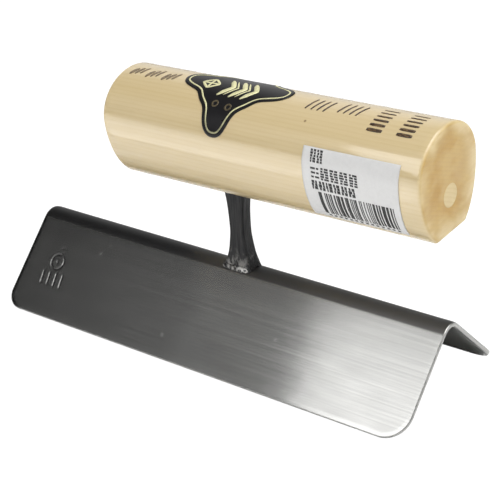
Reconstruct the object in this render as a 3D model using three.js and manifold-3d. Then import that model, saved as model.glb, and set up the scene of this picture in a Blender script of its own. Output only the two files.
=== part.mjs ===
// Concrete arris edger: V-shaped stainless blade, forged neck, tapered-section wooden handle.
// Millimetres, +Z up. +X runs along the ridge of the blade, the blade stands on the
// lower edges of its two wings, and the origin is under the middle of the blade.
import * as THREE from "three";
import Module from "manifold-3d";
import { mergeVertices } from "three/addons/utils/BufferGeometryUtils.js";

const wasm = await Module();
wasm.setup();

// ---------------------------------------------------------------- driving sizes
const BLADE = {
  length: 150,
  thickness: 1.3,
  innerBend: 4.0, // radius inside the ridge, the radius the tool leaves on the concrete
  wing: 31.45, // flat width of a wing below the bend
  cornerFront: 5.5, // radius of the two free corners under the front of the handle
  cornerRear: 8, // radius of the two at the other end
};
const HANDLE = {
  front: -32.2, // end over the plain half of the blade, along the handle axis
  rear: 75, // end with the wooden plug
  seatZ: 50.6, // flat underside above the ground at X = 0
  rise: THREE.MathUtils.degToRad(0.93), // the handle climbs slightly to the rear
  roll: THREE.MathUtils.degToRad(2.9), // and is set on its tang turned a little towards -Y
  halfWidth: 14.3,
  waistline: 18.45, // height of the widest line above the flat underside
  crown: 12.15, // from the widest line to the top
  keel: 21.2, // half axis of the lower ellipse, cut off by the flat underside
  endRound: 0.9,
};
const NECK = {
  x: 4.27,
  waistZ: 37, // the narrowest height; the neck widens from it to its foot and to its top
  spreadZ: 44, // it thickens across the ridge from here down
  footZ: 20.5, // lowest ring, inside the ridge, trimmed off by the blade
  footTopZ: 24.6,
  tangTop: 67.5,
  tangHalf: 2.5,
  seatGap: 0.06,
};
const BORE = { height: 10.9, plug: 6.6, plugDepth: 12, rod: 3.2, blind: -8 };
const GAP = 0.05; // clearance between pieces that touch

const BEND_OUT = BLADE.innerBend + BLADE.thickness;
const COS45 = Math.SQRT1_2;
const BEND_Z = (BLADE.wing - BLADE.innerBend) * COS45; // bend axis above the ground

// ---------------------------------------------------------------- helpers
function toManifold(geometry) {
  const g = geometry.clone();
  g.deleteAttribute("normal");
  g.deleteAttribute("uv");
  const m = mergeVertices(g, 1e-4);
  const vertProperties = new Float32Array(m.attributes.position.array);
  const triVerts = new Uint32Array(m.index.array);
  return new wasm.Manifold(new wasm.Mesh({ numProp: 3, vertProperties, triVerts }));
}

function toGeometry(solid) {
  const mesh = solid.getMesh();
  const g = new THREE.BufferGeometry();
  g.setAttribute("position", new THREE.BufferAttribute(new Float32Array(mesh.vertProperties), 3));
  g.setIndex(new THREE.BufferAttribute(new Uint32Array(mesh.triVerts), 1));
  g.computeVertexNormals();
  return g;
}

// Closed body through a list of rings with the same number of points, capped at both ends.
function loft(rings) {
  const count = rings[0].length;
  const points = rings.flat();
  const start = points.length;
  const middle = (ring) => ring.reduce((sum, p) => sum.add(p), new THREE.Vector3()).divideScalar(count);
  points.push(middle(rings[0]), middle(rings[rings.length - 1]));
  const faces = [];
  for (let i = 0; i < count; i++) {
    const j = (i + 1) % count;
    for (let r = 0; r < rings.length - 1; r++) {
      const a = r * count;
      const b = a + count;
      faces.push(a + i, b + j, b + i);
      faces.push(a + i, a + j, b + j);
    }
    const last = (rings.length - 1) * count;
    faces.push(start, j, i);
    faces.push(start + 1, last + i, last + j);
  }
  return closedGeometry(points, faces);
}

function closedGeometry(points, faces) {
  const g = new THREE.BufferGeometry();
  g.setAttribute("position", new THREE.Float32BufferAttribute(points.flatMap((p) => [p.x, p.y, p.z]), 3));
  g.setIndex(faces);
  if (signedVolume(points, faces) < 0) {
    g.setIndex(faces.map((v, i) => faces[i - (i % 3) + ((3 - (i % 3)) % 3)]));
  }
  g.computeVertexNormals();
  return g;
}

function signedVolume(points, faces) {
  let sum = 0;
  for (let i = 0; i < faces.length; i += 3) {
    const [a, b, c] = [points[faces[i]], points[faces[i + 1]], points[faces[i + 2]]];
    sum += a.dot(b.clone().cross(c));
  }
  return sum / 6;
}

// Cylinder from one point to another.
function rodBetween(from, to, radius, segments = 48) {
  const axis = to.clone().sub(from);
  const g = new THREE.CylinderGeometry(radius, radius, axis.length(), segments);
  g.applyQuaternion(new THREE.Quaternion().setFromUnitVectors(new THREE.Vector3(0, 1, 0), axis.normalize()));
  const mid = from.clone().add(to).multiplyScalar(0.5);
  g.translate(mid.x, mid.y, mid.z);
  return g;
}

// ---------------------------------------------------------------- blade
// A point on a wing: the given distance from the bend axis, and down from where the bend ends.
function onWing(radius, down, side) {
  return [side * (radius + down) * COS45, BEND_Z + (radius - down) * COS45];
}

// Bend of the ridge as a row of YZ points, from one side of the ridge to the other.
function bend(radius, fromSide, steps = 24) {
  const points = [];
  for (let i = 0; i <= steps; i++) {
    const angle = Math.PI / 2 - fromSide * (Math.PI / 4) * (1 - (2 * i) / steps);
    points.push([radius * Math.cos(angle), BEND_Z + radius * Math.sin(angle)]);
  }
  return points;
}

// YZ outline pulled along the ridge, centred on X = 0.
function pulled(outline, length) {
  const shape = new THREE.Shape(outline.map(([y, z]) => new THREE.Vector2(y, z)));
  const g = new THREE.ExtrudeGeometry(shape, { depth: length, bevelEnabled: false });
  g.applyMatrix4(new THREE.Matrix4().makeBasis(
    new THREE.Vector3(0, 1, 0),
    new THREE.Vector3(0, 0, 1),
    new THREE.Vector3(1, 0, 0),
  ));
  g.translate(-length / 2, 0, 0);
  return toManifold(g);
}

// The folded sheet with square corners.
function foldedSheet() {
  const outline = [
    onWing(BEND_OUT, BLADE.wing, -1),
    ...bend(BEND_OUT, -1),
    onWing(BEND_OUT, BLADE.wing, 1),
    onWing(BLADE.innerBend, BLADE.wing, 1),
    ...bend(BLADE.innerBend, 1),
    onWing(BLADE.innerBend, BLADE.wing, -1),
  ];
  return pulled(outline, BLADE.length);
}

// Everything under the outer face of the blade, with a clearance; used to seat parts on it.
function underBlade(clearance) {
  const radius = BEND_OUT + clearance;
  const outline = [
    onWing(radius, BLADE.wing, -1),
    ...bend(radius, -1),
    onWing(radius, BLADE.wing, 1),
  ];
  return pulled(outline, BLADE.length + 2);
}

// What a rounded corner takes away from a square one, through the sheet of one wing.
function cornerCutter(endSide, wingSide) {
  const r = endSide < 0 ? BLADE.cornerFront : BLADE.cornerRear;
  const over = 3;
  const shape = new THREE.Shape();
  shape.moveTo(over, over);
  shape.lineTo(over, -r);
  shape.lineTo(0, -r);
  for (let i = 1; i <= 16; i++) {
    const angle = (i / 16) * (Math.PI / 2);
    shape.lineTo(r * Math.cos(angle) - r, r * Math.sin(angle) - r);
  }
  shape.lineTo(-r, over);
  const g = new THREE.ExtrudeGeometry(shape, { depth: 8, bevelEnabled: false });
  g.translate(0, 0, -4);
  const along = new THREE.Vector3(endSide, 0, 0);
  const down = new THREE.Vector3(0, wingSide * COS45, -COS45);
  const out = along.clone().cross(down);
  const middle = BLADE.innerBend + BLADE.thickness / 2;
  const corner = new THREE.Vector3(
    (endSide * BLADE.length) / 2,
    wingSide * (middle + BLADE.wing) * COS45,
    BEND_Z + (middle - BLADE.wing) * COS45,
  );
  g.applyMatrix4(new THREE.Matrix4().makeBasis(along, down, out).setPosition(corner));
  return toManifold(g);
}

function makeBlade() {
  let solid = foldedSheet();
  for (const endSide of [-1, 1]) {
    for (const wingSide of [-1, 1]) {
      solid = solid.subtract(cornerCutter(endSide, wingSide));
    }
  }
  return solid;
}

// ---------------------------------------------------------------- handle
// Handle frame: u along the handle, y across, h above its flat underside.
const HANDLE_FRAME = new THREE.Matrix4()
  .makeTranslation(0, 0, HANDLE.seatZ)
  .multiply(new THREE.Matrix4().makeRotationY(-HANDLE.rise))
  .multiply(new THREE.Matrix4().makeTranslation(0, 0, HANDLE.waistline))
  .multiply(new THREE.Matrix4().makeRotationX(HANDLE.roll))
  .multiply(new THREE.Matrix4().makeTranslation(0, 0, -HANDLE.waistline));

const onHandle = (u, y, h) => new THREE.Vector3(u, y, h).applyMatrix4(HANDLE_FRAME);

// Half outline of the section from the top middle down to the underside.
function halfOutline() {
  const { halfWidth, waistline, crown, keel } = HANDLE;
  const outline = [];
  for (let i = 0; i <= 20; i++) {
    const angle = Math.PI / 2 - (i / 20) * (Math.PI / 2);
    outline.push([halfWidth * Math.cos(angle), waistline + crown * Math.sin(angle)]);
  }
  const lowest = Math.asin((waistline - 0.5) / keel);
  for (let i = 1; i <= 18; i++) {
    const angle = (i / 18) * lowest;
    outline.push([halfWidth * Math.cos(angle), waistline - keel * Math.sin(angle)]);
  }
  const edge = halfWidth * Math.cos(lowest);
  outline.push([edge - 0.45, 0.12]);
  outline.push([edge - 1.0, 0]);
  return outline;
}

const HALF = halfOutline();

function handleRing(u, inset) {
  const centre = HANDLE.waistline - 1;
  const place = ([y, h], side) => {
    const length = Math.hypot(y, h - centre);
    const scale = (length - inset) / length;
    return onHandle(u, side * y * scale, centre + (h - centre) * scale);
  };
  const near = HALF.map((p) => place(p, -1));
  const far = HALF.slice(1).reverse().map((p) => place(p, 1));
  return [...near, ...far];
}

function makeHandle() {
  const rings = [];
  const r = HANDLE.endRound;
  const steps = 4;
  for (let i = 0; i <= steps; i++) {
    const angle = (i / steps) * (Math.PI / 2);
    rings.push(handleRing(HANDLE.front + r * (1 - Math.sin(angle)), r * (1 - Math.cos(angle))));
  }
  rings.reverse();
  for (let i = 0; i <= steps; i++) {
    const angle = (i / steps) * (Math.PI / 2);
    rings.push(handleRing(HANDLE.rear - r * (1 - Math.sin(angle)), r * (1 - Math.cos(angle))));
  }
  const body = toManifold(loft(rings));
  const plugBore = toManifold(rodBetween(
    onHandle(HANDLE.rear - BORE.plugDepth, 0, BORE.height),
    onHandle(HANDLE.rear + 2, 0, BORE.height),
    BORE.plug / 2,
  ));
  const rodBore = toManifold(rodBetween(
    onHandle(BORE.blind, 0, BORE.height),
    onHandle(HANDLE.rear - BORE.plugDepth + 1, 0, BORE.height),
    BORE.rod / 2,
    24,
  ));
  const half = NECK.tangHalf + 0.2;
  const socket = new THREE.BoxGeometry(2 * half, 2 * half, 30);
  socket.translate(NECK.x, 0, NECK.tangTop + 0.5 - 15);
  return body.subtract(plugBore).subtract(rodBore).subtract(toManifold(socket));
}

// ---------------------------------------------------------------- neck
// Rounded rectangle in a level plane.
function neckRing(z, left, right, halfDepth, round) {
  const ring = [];
  const centres = [
    [right - round, halfDepth - round, 0],
    [left + round, halfDepth - round, 1],
    [left + round, -halfDepth + round, 2],
    [right - round, -halfDepth + round, 3],
  ];
  for (const [x, y, quarter] of centres) {
    for (let i = 0; i <= 5; i++) {
      const angle = (quarter + i / 5) * (Math.PI / 2);
      ring.push(new THREE.Vector3(x + round * Math.cos(angle), y + round * Math.sin(angle), z));
    }
  }
  return ring;
}

// Middle and half width along the ridge, and half depth across it, at a height.
function neckSize(z) {
  const below = Math.max(0, NECK.waistZ - z) / (NECK.waistZ - NECK.footTopZ);
  const above = Math.max(0, z - NECK.waistZ) / (HANDLE.seatZ - NECK.waistZ);
  const down = Math.max(0, NECK.spreadZ - z) / (NECK.spreadZ - NECK.footTopZ);
  return {
    middle: NECK.x - 0.2 * below ** 3,
    half: 2.66 + 2.2 * below ** 2.2 + 1.37 * above ** 2,
    depth: 2.3 + 0.6 * down ** 1.5,
  };
}

// Saddle foot, waist and top of the neck, grown by a clearance.
function neckShaft(fromZ, toZ, steps, grow) {
  const rings = [];
  for (let i = 0; i <= steps; i++) {
    const z = fromZ + (toZ - fromZ) * (i / steps);
    const { middle, half, depth } = neckSize(z);
    rings.push(neckRing(z, middle - half - grow, middle + half + grow, depth + grow, 0.9));
  }
  return rings;
}

function makeNeck() {
  const c = NECK.x;
  const t = NECK.tangHalf;
  const rings = neckShaft(NECK.footZ, HANDLE.seatZ - 0.6, 20, 0);
  // the straight tang inside the handle
  rings.push(neckRing(HANDLE.seatZ, c - t, c + t, t, 0.4));
  rings.push(neckRing(NECK.tangTop - 1, c - t, c + t, t, 0.4));
  rings.push(neckRing(NECK.tangTop, c - t + 0.8, c + t - 0.8, t - 0.8, 0.4));
  const eye = rodBetween(onHandle(c - 6, 0, BORE.height), onHandle(c + 6, 0, BORE.height), BORE.rod / 2, 24);
  return toManifold(loft(rings))
    .subtract(underBlade(NECK.seatGap))
    .subtract(toManifold(eye));
}

// ---------------------------------------------------------------- weld beads
// A row of overlapping drops along the foot, trimmed to the neck and the blade.
function makeWeld(side) {
  const drops = 7;
  const spanX = 7.6;
  const middle = NECK.x - 0.8;
  let bead = null;
  for (let i = 0; i < drops; i++) {
    const f = i / (drops - 1);
    const x = middle + spanX * (f - 0.5);
    const size = 1.1 + 0.1 * Math.sin(i * 2.3);
    const g = new THREE.SphereGeometry(size, 20, 14);
    g.scale(1, 0.95, 0.8);
    const y = 2.6 - 0.15 * Math.cos(2 * Math.PI * f);
    g.translate(x, side * y, BEND_Z + Math.sqrt(BEND_OUT ** 2 - y * y) + 0.1);
    const drop = toManifold(g);
    bead = bead === null ? drop : bead.add(drop);
  }
  const reach = new THREE.BoxGeometry(spanX + 3.8, 3.1, 8);
  reach.translate(middle, side * (3.1 / 2 + 1.6), BEND_Z + BEND_OUT - 1);
  return bead
    .intersect(toManifold(reach))
    .subtract(toManifold(loft(neckShaft(NECK.footZ - 1, 31.5, 12, GAP))))
    .subtract(underBlade(NECK.seatGap));
}

// ---------------------------------------------------------------- pin and plug
function makeRod() {
  return rodBetween(onHandle(BORE.blind + 0.5, 0, BORE.height), onHandle(60, 0, BORE.height), 1.5, 24);
}

function makePlug() {
  return rodBetween(
    onHandle(HANDLE.rear - BORE.plugDepth + 0.4, 0, BORE.height),
    onHandle(HANDLE.rear - 0.02, 0, BORE.height),
    BORE.plug / 2 - GAP,
  );
}

// ---------------------------------------------------------------- labels
// Points on the handle surface by distance around it, measured from the top middle.
// Negative distances run down the side facing -Y.
const ARC = [0];
for (let i = 1; i < HALF.length; i++) {
  ARC.push(ARC[i - 1] + Math.hypot(HALF[i][0] - HALF[i - 1][0], HALF[i][1] - HALF[i - 1][1]));
}

function onSkin(u, around, lift) {
  const s = Math.abs(around);
  let i = 1;
  while (ARC[i] < s) i++;
  const f = (s - ARC[i - 1]) / (ARC[i] - ARC[i - 1]);
  const [y0, h0] = HALF[i - 1];
  const [y1, h1] = HALF[i];
  const y = y0 + (y1 - y0) * f;
  const h = h0 + (h1 - h0) * f;
  const below = h < HANDLE.waistline;
  const depth = below ? HANDLE.keel : HANDLE.crown;
  const ny = y / HANDLE.halfWidth ** 2;
  const nh = (h - HANDLE.waistline) / depth ** 2;
  const n = Math.hypot(ny, nh);
  return onHandle(u, Math.sign(around) * (y + (lift * ny) / n), h + (lift * nh) / n);
}

const LABEL = { lift: 0.08, thickness: 0.12 };

// Closed sheet from a grid of surface positions; rows and columns are [u, around] pairs.
function sheet(cells, wrap) {
  const rows = cells.length;
  const cols = cells[0].length;
  const points = [];
  for (const lift of [LABEL.lift, LABEL.lift + LABEL.thickness]) {
    for (const row of cells) {
      for (const [u, around] of row) points.push(onSkin(u, around, lift));
    }
  }
  const at = (layer, r, c) => layer * rows * cols + r * cols + (c % cols);
  const faces = [];
  const quad = (a, b, c, d) => faces.push(a, b, c, a, c, d);
  const spanC = wrap ? cols : cols - 1;
  for (let r = 0; r < rows - 1; r++) {
    for (let c = 0; c < spanC; c++) {
      quad(at(1, r, c), at(1, r, c + 1), at(1, r + 1, c + 1), at(1, r + 1, c));
      quad(at(0, r, c), at(0, r + 1, c), at(0, r + 1, c + 1), at(0, r, c + 1));
    }
  }
  const wall = (r0, c0, r1, c1) => quad(at(0, r0, c0), at(0, r1, c1), at(1, r1, c1), at(1, r0, c0));
  for (let c = 0; c < spanC; c++) {
    if (!wrap) wall(0, c, 0, c + 1);
    wall(rows - 1, c + 1, rows - 1, c);
  }
  if (!wrap) {
    for (let r = 0; r < rows - 1; r++) {
      wall(r + 1, 0, r, 0);
      wall(r, cols - 1, r + 1, cols - 1);
    }
  } else {
    // close the middle of a round sheet
    const hub = points.length;
    points.push(onSkin(...cells.hub, LABEL.lift), onSkin(...cells.hub, LABEL.lift + LABEL.thickness));
    for (let c = 0; c < cols; c++) {
      faces.push(hub, at(0, 0, c), at(0, 0, c + 1));
      faces.push(hub + 1, at(1, 0, c + 1), at(1, 0, c));
    }
  }
  return closedGeometry(points, faces);
}

// Four rounded lobes: distance from the middle for a direction.
function crestRadius(angle) {
  const quarter = Math.PI / 2;
  const off = Math.abs(((angle % quarter) + quarter * 1.5) % quarter - quarter / 2);
  return 11.6 + 6.6 * Math.exp(-((off / 0.34) ** 2.6));
}

const CREST_RINGS = 12;

function makeCrestLabel() {
  const middle = 8.8;
  const cells = [];
  for (let r = 1; r <= CREST_RINGS; r++) {
    const row = [];
    for (let i = 0; i < 96; i++) {
      const angle = (i / 96) * 2 * Math.PI;
      const radius = (crestRadius(angle) * r) / CREST_RINGS;
      row.push([middle + radius * Math.cos(angle), radius * Math.sin(angle) || 1e-6]);
    }
    cells.push(row);
  }
  cells.hub = [middle, 1e-6];
  return sheet(cells, true);
}

function makePriceLabel() {
  const cells = [];
  for (let r = 0; r <= 18; r++) {
    const row = [];
    const lean = 0.5 - (1.1 * r) / 18;
    for (let c = 0; c <= 4; c++) row.push([38.8 + lean + 7.45 * c, -15 - (23 * r) / 18]);
    cells.push(row);
  }
  return sheet(cells, false);
}

// ---------------------------------------------------------------- assembly
const tool = new THREE.Group();
tool.name = "concrete_edger";

function addPart(name, geometry, color, roughness, metalness) {
  const material = new THREE.MeshStandardMaterial({ color, roughness, metalness });
  material.name = `${name}_material`;
  const mesh = new THREE.Mesh(geometry, material);
  mesh.name = name;
  tool.add(mesh);
}

addPart("blade", toGeometry(makeBlade()), 0xb4b4b0, 0.35, 1);
addPart("neck", toGeometry(makeNeck()), 0x262626, 0.55, 0.8);
addPart("weld_bead_near", toGeometry(makeWeld(-1)), 0x8c8a86, 0.45, 1);
addPart("weld_bead_far", toGeometry(makeWeld(1)), 0x8c8a86, 0.45, 1);
addPart("handle", toGeometry(makeHandle()), 0xd9c08f, 0.4, 0);
addPart("locking_rod", makeRod(), 0x55565a, 0.5, 1);
addPart("end_plug", makePlug(), 0xdcc694, 0.55, 0);
addPart("crest_label", makeCrestLabel(), 0x121212, 0.25, 0);
addPart("price_label", makePriceLabel(), 0xe6e6e4, 0.55, 0);

export default tool;
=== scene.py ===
import math
import random

import bmesh
import bpy
from mathutils import Matrix, Vector, noise
from mathutils.geometry import delaunay_2d_cdt


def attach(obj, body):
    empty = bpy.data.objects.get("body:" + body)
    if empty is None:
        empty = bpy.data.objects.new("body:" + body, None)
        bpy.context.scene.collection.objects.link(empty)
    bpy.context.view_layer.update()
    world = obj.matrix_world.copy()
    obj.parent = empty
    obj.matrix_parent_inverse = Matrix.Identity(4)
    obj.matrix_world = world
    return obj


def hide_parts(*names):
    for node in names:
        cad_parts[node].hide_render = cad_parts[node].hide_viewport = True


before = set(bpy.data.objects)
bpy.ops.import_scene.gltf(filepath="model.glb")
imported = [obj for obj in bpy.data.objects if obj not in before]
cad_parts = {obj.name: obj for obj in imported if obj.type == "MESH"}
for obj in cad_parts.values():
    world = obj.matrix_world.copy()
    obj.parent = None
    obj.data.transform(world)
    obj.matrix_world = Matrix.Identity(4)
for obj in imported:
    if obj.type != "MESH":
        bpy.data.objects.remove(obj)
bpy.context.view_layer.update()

MM = 0.001

# ---------------------------------------------------------------- sizes in mm, mostly the CAD's
BLADE_LENGTH = 150.0
SHEET = 1.3
BEND_IN = 4.0
BEND_OUT = BEND_IN + SHEET
WING = 31.45
CORNER_FRONT = 5.5
CORNER_REAR = 8.0
COS45 = math.sqrt(0.5)
BEND_Z = (WING - BEND_IN) * COS45
HALF_BEND = BEND_OUT * math.pi / 4  # bend width on the outer face, from the ridge line to a wing
HALF_WIDTH = HALF_BEND + WING

HANDLE_FRONT = -32.2
HANDLE_REAR = 75.0
SEAT_Z = 50.6
RISE = math.radians(0.93)
ROLL = math.radians(2.9)
HALF_WIDE = 14.3
WAIST = 18.45
CROWN = 12.14
KEEL = 21.2
END_ROUND = 0.9

NECK_X = 4.27
WAIST_Z = 37.0  # height of the neck's narrowest place
SPREAD_Z = 44.0  # below this the neck thickens across the ridge
FOOT_Z = 23.35
BORE_H = 10.9
PLUG_R = 3.3
PLUG_DEPTH = 12.0
PLUG_GAP = 0.01

FILM_LIFT = 0.08  # underside of the film and the paper above the lacquer
FILM_TOP = 0.20
CREST_U = 8.8
LABEL_FRONT = 38.8
LABEL_REAR = 68.6
LABEL_TOP = -15.0  # round the handle's skin from the top middle, negative towards -Y
LABEL_BOTTOM = -38.0


def smooth(low, high, value):
    """0 below low, 1 above high, and a soft step between."""
    t = min(1.0, max(0.0, (value - low) / (high - low)))
    return t * t * (3 - 2 * t)


def spread(start, stop, count):
    return [start + (stop - start) * i / count for i in range(count + 1)]


# ---------------------------------------------------------------- mesh helpers
def new_piece(name, verts, faces, materials, attributes=None, face_slots=None):
    """A smooth-shaded mesh object from millimetre points, riding on the one body."""
    mesh = bpy.data.meshes.new(name)
    mesh.from_pydata([Vector(v) * MM for v in verts], [], faces)
    for label, values in (attributes or {}).items():
        layer = mesh.attributes.new(label, "FLOAT_VECTOR", "POINT")
        layer.data.foreach_set("vector", [c for v in values for c in v])
    for material in materials:
        mesh.materials.append(material)
    if face_slots:
        mesh.polygons.foreach_set("material_index", face_slots)
    bm = bmesh.new()
    bm.from_mesh(mesh)
    bmesh.ops.recalc_face_normals(bm, faces=bm.faces)
    bm.to_mesh(mesh)
    bm.free()
    mesh.polygons.foreach_set("use_smooth", [True] * len(mesh.polygons))
    piece = bpy.data.objects.new(name, mesh)
    bpy.context.scene.collection.objects.link(piece)
    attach(piece, "root")
    return piece


def tube_faces(rings, count):
    """Quads between rings of count points each, with a single face over each end."""
    faces = []
    for r in range(rings - 1):
        for i in range(count):
            j = (i + 1) % count
            a = r * count
            b = a + count
            faces.append((a + i, a + j, b + j, b + i))
    last = (rings - 1) * count
    faces.append(tuple(reversed(range(count))))
    faces.append(tuple(range(last, last + count)))
    return faces


# ---------------------------------------------------------------- node helpers
class Shader:
    """A material and short ways to add nodes to it."""

    def __init__(self, name):
        self.material = bpy.data.materials.new(name)
        self.material.use_nodes = True
        self.tree = self.material.node_tree
        self.bsdf = self.tree.nodes["Principled BSDF"]

    def add(self, kind, inputs=None, **settings):
        node = self.tree.nodes.new(kind)
        for key, value in settings.items():
            setattr(node, key, value)
        for key, value in (inputs or {}).items():
            self.put(node, key, value)
        return node

    def put(self, node, key, value):
        socket = node.inputs[key]
        if isinstance(value, bpy.types.NodeSocket):
            self.tree.links.new(value, socket)
        else:
            socket.default_value = value

    def attribute(self, name):
        return self.add("ShaderNodeAttribute", attribute_name=name).outputs["Vector"]

    def scaled(self, vector, scale, location=(0, 0, 0)):
        node = self.add("ShaderNodeMapping", {"Vector": vector, "Scale": scale, "Location": location})
        return node.outputs["Vector"]

    def noise(self, vector, scale=1.0, detail=3.0, roughness=0.5):
        node = self.add("ShaderNodeTexNoise", {
            "Vector": vector, "Scale": scale, "Detail": detail, "Roughness": roughness,
        })
        return node.outputs["Fac"]

    def math(self, operation, a, b=0.0):
        return self.add("ShaderNodeMath", {0: a, 1: b}, operation=operation).outputs[0]

    def distance(self, vector, place):
        node = self.add("ShaderNodeVectorMath", {0: vector, 1: place}, operation="DISTANCE")
        return node.outputs["Value"]

    def remap(self, value, low, high, to_low=0.0, to_high=1.0, smooth_step=False):
        node = self.add("ShaderNodeMapRange", {
            "Value": value, "From Min": low, "From Max": high, "To Min": to_low, "To Max": to_high,
        }, interpolation_type="SMOOTHSTEP" if smooth_step else "LINEAR")
        return node.outputs["Result"]

    def mix(self, factor, a, b):
        node = self.add("ShaderNodeMix", data_type="RGBA")
        self.put(node, 0, factor)
        self.put(node, 6, a)
        self.put(node, 7, b)
        return node.outputs[2]

    def split(self, vector):
        node = self.add("ShaderNodeSeparateXYZ", {0: vector})
        return node.outputs[0], node.outputs[1], node.outputs[2]

    def bump(self, height, strength, distance, normal=None):
        inputs = {"Height": height, "Strength": strength, "Distance": distance}
        if normal is not None:
            inputs["Normal"] = normal
        return self.add("ShaderNodeBump", inputs).outputs["Normal"]

    def surface(self, **inputs):
        for key, value in inputs.items():
            self.put(self.bsdf, key.replace("_", " "), value)
        return self.material


# ---------------------------------------------------------------- materials
def blade_steel():
    """Brushed stainless sheet, duller over the bend, with painted dark reflections darkening its colour
    over the bend and towards the front end.

    The attribute holds x, the distance round the section from the ridge line, and depth.
    """
    s = Shader("blade_steel_brushed")
    flat = s.attribute("flat")
    streak = s.noise(s.scaled(flat, (0.010, 0.9, 0.3)), detail=3, roughness=0.6)
    fine = s.noise(s.scaled(flat, (0.022, 2.9, 1.0)), detail=1, roughness=0.5)
    cloud = s.noise(s.scaled(flat, (0.03, 0.07, 0.05)), detail=3, roughness=0.55)
    smudge = s.noise(s.scaled(flat, (0.09, 0.22, 0.1), (7, 3, 0)), detail=4, roughness=0.6)
    tone = s.mix(s.remap(streak, 0.3, 0.7), (0.51, 0.51, 0.497, 1), (0.63, 0.63, 0.613, 1))
    tone = s.mix(s.remap(fine, 0.35, 0.65, 0.0, 0.4), tone, (0.39, 0.39, 0.38, 1))
    tone = s.mix(s.remap(cloud, 0.35, 0.65, 0.0, 0.5), tone, (0.42, 0.42, 0.41, 1))
    along, across, _ = s.split(flat)
    # painted dark reflection: the base colour darkens in mottled patches towards the front end of the
    # wing
    painted_dark_reflection_x = s.math("ADD", along, s.math("MULTIPLY", cloud, 30.0))
    tone = s.mix(s.remap(painted_dark_reflection_x, 12.0, 2.0, 0.0, 0.35), tone, (0.28, 0.28, 0.272, 1))
    for x, down, size in ((-46.6, 6.6, 0.9), (-44.3, 3.4, 0.6), (25.9, 15.4, 0.6), (-12.0, 24.5, 0.9)):
        far = s.distance(flat, (x, -HALF_BEND - down, 0.0))
        ragged = s.math("ADD", far, s.math("MULTIPLY", smudge, 1.2))
        tone = s.mix(s.remap(ragged, size, size + 0.7, 0.5, 0.0), tone, (0.85, 0.85, 0.83, 1))
    away = s.math("ABSOLUTE", across)
    # painted dark reflection: the base colour darkens over the bend and on the wing beside it, where the
    # handle's dark underside is mirrored
    tone = s.mix(s.remap(away, HALF_BEND + 9, HALF_BEND, 0.0, 0.3), tone, (0.21, 0.21, 0.204, 1))
    bend = s.remap(away, HALF_BEND + 0.5, HALF_BEND - 0.4, smooth_step=True)
    tone = s.mix(bend, tone, (0.12, 0.12, 0.12, 1))
    rough = s.math("ADD", s.remap(streak, 0.3, 0.7, 0.168, 0.186), s.remap(smudge, 0.35, 0.7, 0.0, 0.03))
    rough = s.math("ADD", rough, s.math("MULTIPLY", bend, 0.17))
    normal = s.bump(streak, 0.15, 0.000005)
    normal = s.bump(cloud, 0.15, 0.00015, normal)
    tangent = s.add("ShaderNodeTangent", direction_type="UV_MAP", uv_map="grain")
    return s.surface(
        Base_Color=tone, Metallic=1.0, Roughness=rough, Normal=normal, Anisotropic=1.0,
        Anisotropic_Rotation=0.25, Tangent=tangent.outputs["Tangent"],
    )


def edge_steel():
    """Sheared and deburred edge of the sheet."""
    s = Shader("blade_edge_ground")
    flat = s.attribute("flat")
    scuff = s.noise(s.scaled(flat, (0.8, 0.8, 4.0)), detail=3)
    tone = s.mix(scuff, (0.33, 0.33, 0.32, 1), (0.55, 0.55, 0.53, 1))
    return s.surface(
        Base_Color=tone, Metallic=1.0, Roughness=s.remap(scuff, 0.3, 0.7, 0.3, 0.48),
        Normal=s.bump(scuff, 0.3, 0.00005),
    )


def wood_colours(s, grain, pale, deep, line, contrast):
    """Growth rings seen in the solid: the attribute holds u along the handle, y across, h up."""
    _, y, h = s.split(grain)
    drift = s.noise(s.scaled(grain, (0.008, 0.03, 0.03)), detail=2)
    sway = s.math("MULTIPLY", s.math("SUBTRACT", drift, 0.5), 3.5)
    dy = s.math("ADD", y, 53.0)
    dh = s.math("ADD", h, 81.0)
    radius = s.math("SQRT", s.math("ADD", s.math("MULTIPLY", dy, dy), s.math("MULTIPLY", dh, dh)))
    ring = s.math("FRACT", s.math("ADD", s.math("DIVIDE", s.math("ADD", radius, sway), 1.15), 0.3))
    late = s.math("MULTIPLY", s.remap(ring, 0.4, 0.9, smooth_step=True), s.remap(ring, 1.0, 0.92))
    fibre = s.noise(s.scaled(grain, (0.03, 2.2, 2.2)), detail=4, roughness=0.6)
    broad = s.noise(s.scaled(grain, (0.010, 0.16, 0.16), (3, 1, 5)), detail=3)
    tone = s.mix(s.remap(broad, 0.3, 0.7), pale, deep)
    tone = s.mix(s.math("MULTIPLY", late, contrast), tone, line)
    tone = s.mix(s.remap(fibre, 0.25, 0.75, 0.0, 0.14), tone, line)
    return tone, late, fibre


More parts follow.
